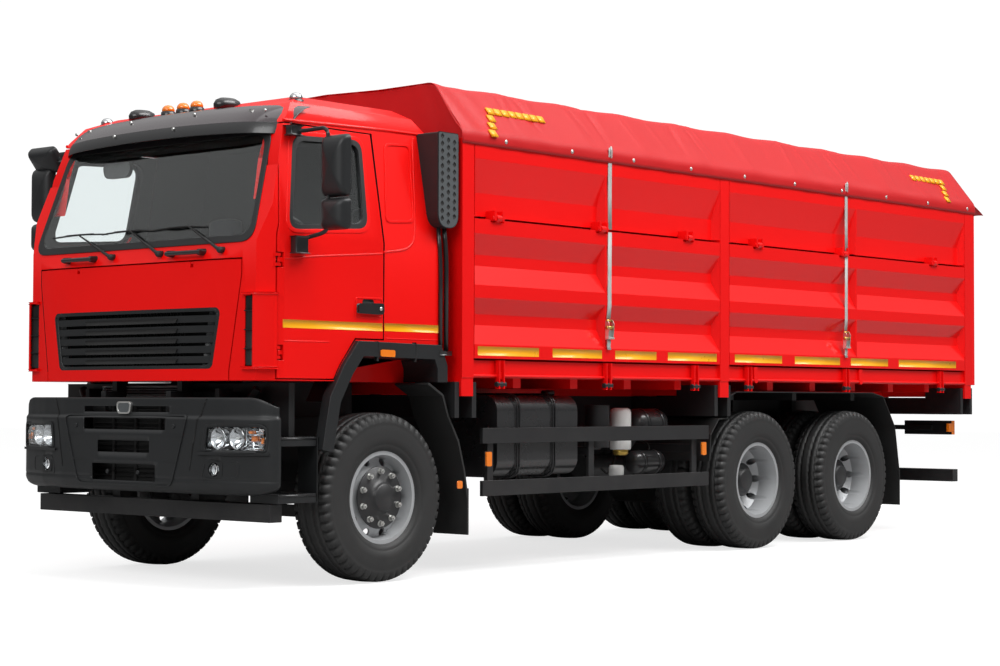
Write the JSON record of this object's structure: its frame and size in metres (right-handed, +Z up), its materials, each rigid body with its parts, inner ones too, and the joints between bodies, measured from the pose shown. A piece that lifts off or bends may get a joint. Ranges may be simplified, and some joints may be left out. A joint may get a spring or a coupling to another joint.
{
  "type": "three-axle grain tipper truck",
  "caption": "Cab-over truck with a tilting cab, steered front wheels, twin rear wheels and a side-tipping grain body with top-hung boards under a cloth cover.",
  "frame": {"origin": "on the ground, in the middle of the truck's length and width", "axes": "+X forward, +Y to the truck's left, +Z up"},
  "size_m": [8.88, 3.1, 3.287],
  "materials": {
    "cab_paint": "gloss red with a light clear coat",
    "body_paint": "gloss red on folded steel",
    "chassis_paint": "satin black",
    "dark_plastic": "grained dark grey mouldings",
    "smoked_plastic": "smoked sun visor",
    "glass": "clear automotive glass",
    "lamp_glass": "clear lamp lenses",
    "marker_amber": "amber lenses",
    "rubber_black": "black rubber",
    "tyre_rubber": "tyre rubber, matt",
    "rim_silver": "silver lacquered steel rims",
    "tank_metal": "gloss black tank",
    "axle_iron": "black painted castings",
    "ram_steel": "ground and plated steel",
    "tarp_cloth": "coated red tarpaulin",
    "seat_cloth": "grey seat cloth"
  },
  "bodies": {
    "chassis": {"frame": "chassis_paint", "axles": "axle_iron", "suspension": "axle_iron", "engine": "axle_iron", "bumper": "dark_plastic", "underrun_bars": "chassis_paint", "front_lamps": "lamp_glass", "cab_steps": "dark_plastic", "mudguards": "rubber_black", "fuel_tank": "tank_metal", "side_guards": "chassis_paint", "air_and_battery": "chassis_paint", "rear_lamps": "marker_amber", "tipper_subframe": "body_paint", "hoist_mount": "chassis_paint"},
    "cab": {"cab_shell": "cab_paint", "windscreen": "glass", "sun_visor": "smoked_plastic", "roof_lamps": "marker_amber", "wipers": "rubber_black", "seats": "seat_cloth", "dashboard": "dark_plastic", "air_intake": "dark_plastic", "cab_fenders": "dark_plastic"},
    "front_panel": {"front_panel": "cab_paint", "grille": "dark_plastic"},
    "door_left": {"door_left": "cab_paint", "door_glass_left": "glass", "mirror_left": "dark_plastic"},
    "door_right": {"door_right": "cab_paint", "door_glass_right": "glass", "mirror_right": "dark_plastic"},
    "knuckle_left": {"knuckle_left": "axle_iron"},
    "knuckle_right": {"knuckle_right": "axle_iron"},
    "bed": {"bed_frame": "body_paint", "bed_floor": "body_paint", "tailgate": "body_paint", "upper_boards": "body_paint", "board_locks": "body_paint", "tarp": "tarp_cloth"},
    "hoist_barrel": {"hoist_barrel": "chassis_paint"},
    "hoist_stage_1": {"hoist_stage_1": "ram_steel"},
    "hoist_stage_2": {"hoist_stage_2": "ram_steel"},
    "hoist_ram": {"hoist_ram": "ram_steel"},
    "board_front_left": {"board_front_left": "body_paint"},
    "board_front_right": {"board_front_right": "body_paint"},
    "board_rear_left": {"board_rear_left": "body_paint"},
    "board_rear_right": {"board_rear_right": "body_paint"},
    "wheel_front_left": {"tyre_front_left": "tyre_rubber", "rim_front_left": "rim_silver"},
    "wheel_rear1_left": {"tyres_rear1_left": "tyre_rubber", "rims_rear1_left": "rim_silver"},
    "wheel_rear2_left": {"tyres_rear2_left": "tyre_rubber", "rims_rear2_left": "rim_silver"},
    "wheel_front_right": {"tyre_front_right": "tyre_rubber", "rim_front_right": "rim_silver"},
    "wheel_rear1_right": {"tyres_rear1_right": "tyre_rubber", "rims_rear1_right": "rim_silver"},
    "wheel_rear2_right": {"tyres_rear2_right": "tyre_rubber", "rims_rear2_right": "rim_silver"}
  },
  "joints": [
    {"name": "cab_tilt", "type": "hinge", "parent": "chassis", "child": "cab", "pos_m": [4.29, 0, 1.1], "axis": [0, 1, 0], "range_deg": [0, 55]},
    {"name": "front_panel_lift", "type": "hinge", "parent": "cab", "child": "front_panel", "pos_m": [4.3468, 0, 1.997], "axis": [0, -1, 0], "range_deg": [0, 75]},
    {"name": "door_left_swing", "type": "hinge", "parent": "cab", "child": "door_left", "pos_m": [4.204, 1.1756, 2.15], "axis": [0, 0, -1], "range_deg": [0, 75]},
    {"name": "door_right_swing", "type": "hinge", "parent": "cab", "child": "door_right", "pos_m": [4.204, -1.1756, 2.15], "axis": [0, 0, 1], "range_deg": [0, 75]},
    {"name": "steer_left", "type": "hinge", "parent": "chassis", "child": "knuckle_left", "pos_m": [3.28, 0.85, 0.538], "axis": [0, 0, 1], "range_deg": [-35, 35]},
    {"name": "steer_right", "type": "hinge", "parent": "chassis", "child": "knuckle_right", "pos_m": [3.28, -0.85, 0.538], "axis": [0, 0, 1], "range_deg": [-35, 35]},
    {"name": "roll_front_left", "type": "hinge", "parent": "knuckle_left", "child": "wheel_front_left", "pos_m": [3.28, 1.033, 0.538], "axis": [0, 1, 0], "continuous": true},
    {"name": "roll_front_right", "type": "hinge", "parent": "knuckle_right", "child": "wheel_front_right", "pos_m": [3.28, -1.033, 0.538], "axis": [0, 1, 0], "continuous": true},
    {"name": "roll_rear1_left", "type": "hinge", "parent": "chassis", "child": "wheel_rear1_left", "pos_m": [-0.88, 0.894, 0.538], "axis": [0, 1, 0], "continuous": true},
    {"name": "roll_rear1_right", "type": "hinge", "parent": "chassis", "child": "wheel_rear1_right", "pos_m": [-0.88, -0.894, 0.538], "axis": [0, 1, 0], "continuous": true},
    {"name": "roll_rear2_left", "type": "hinge", "parent": "chassis", "child": "wheel_rear2_left", "pos_m": [-2.28, 0.894, 0.538], "axis": [0, 1, 0], "continuous": true},
    {"name": "roll_rear2_right", "type": "hinge", "parent": "chassis", "child": "wheel_rear2_right", "pos_m": [-2.28, -0.894, 0.538], "axis": [0, 1, 0], "continuous": true},
    {"name": "bed_tip", "type": "hinge", "parent": "chassis", "child": "bed", "pos_m": [-0.76, 1.215, 1.237], "axis": [-1, 0, 0], "range_deg": [0, 45]},
    {"name": "board_front_left_swing", "type": "hinge", "parent": "bed", "child": "board_front_left", "pos_m": [1.16, 1.2782, 2.369], "axis": [1, 0, 0], "range_deg": [0, 60]},
    {"name": "board_front_right_swing", "type": "hinge", "parent": "bed", "child": "board_front_right", "pos_m": [1.16, -1.2782, 2.369], "axis": [-1, 0, 0], "range_deg": [0, 60]},
    {"name": "board_rear_left_swing", "type": "hinge", "parent": "bed", "child": "board_rear_left", "pos_m": [-2.067, 1.2782, 2.369], "axis": [1, 0, 0], "range_deg": [0, 60]},
    {"name": "board_rear_right_swing", "type": "hinge", "parent": "bed", "child": "board_rear_right", "pos_m": [-2.067, -1.2782, 2.369], "axis": [-1, 0, 0], "range_deg": [0, 60]},
    {"name": "hoist_swing", "type": "hinge", "parent": "chassis", "child": "hoist_barrel", "pos_m": [0.28, 0, 0.72], "axis": [-1, 0, 0], "range_deg": [0, 14.81]},
    {"name": "hoist_stage_1_slide", "type": "slide", "parent": "hoist_barrel", "child": "hoist_stage_1", "axis": [0, 0, 1], "range_m": [0, 0.3039]},
    {"name": "hoist_stage_2_slide", "type": "slide", "parent": "hoist_stage_1", "child": "hoist_stage_2", "axis": [0, 0, 1], "range_m": [0, 0.3039]},
    {"name": "hoist_ram_slide", "type": "slide", "parent": "hoist_stage_2", "child": "hoist_ram", "axis": [0, 0, 1], "range_m": [0, 0.3039]}
  ],
  "couplings": [
    {"joint": "steer_right", "follows": "steer_left", "ratio": 1},
    {"joint": "hoist_swing", "follows": "bed_tip", "ratio": 0.31808},
    {"joint": "hoist_stage_1_slide", "follows": "bed_tip", "m_per_rad": 0.38437},
    {"joint": "hoist_stage_2_slide", "follows": "bed_tip", "m_per_rad": 0.38437},
    {"joint": "hoist_ram_slide", "follows": "bed_tip", "m_per_rad": 0.38437}
  ]
}
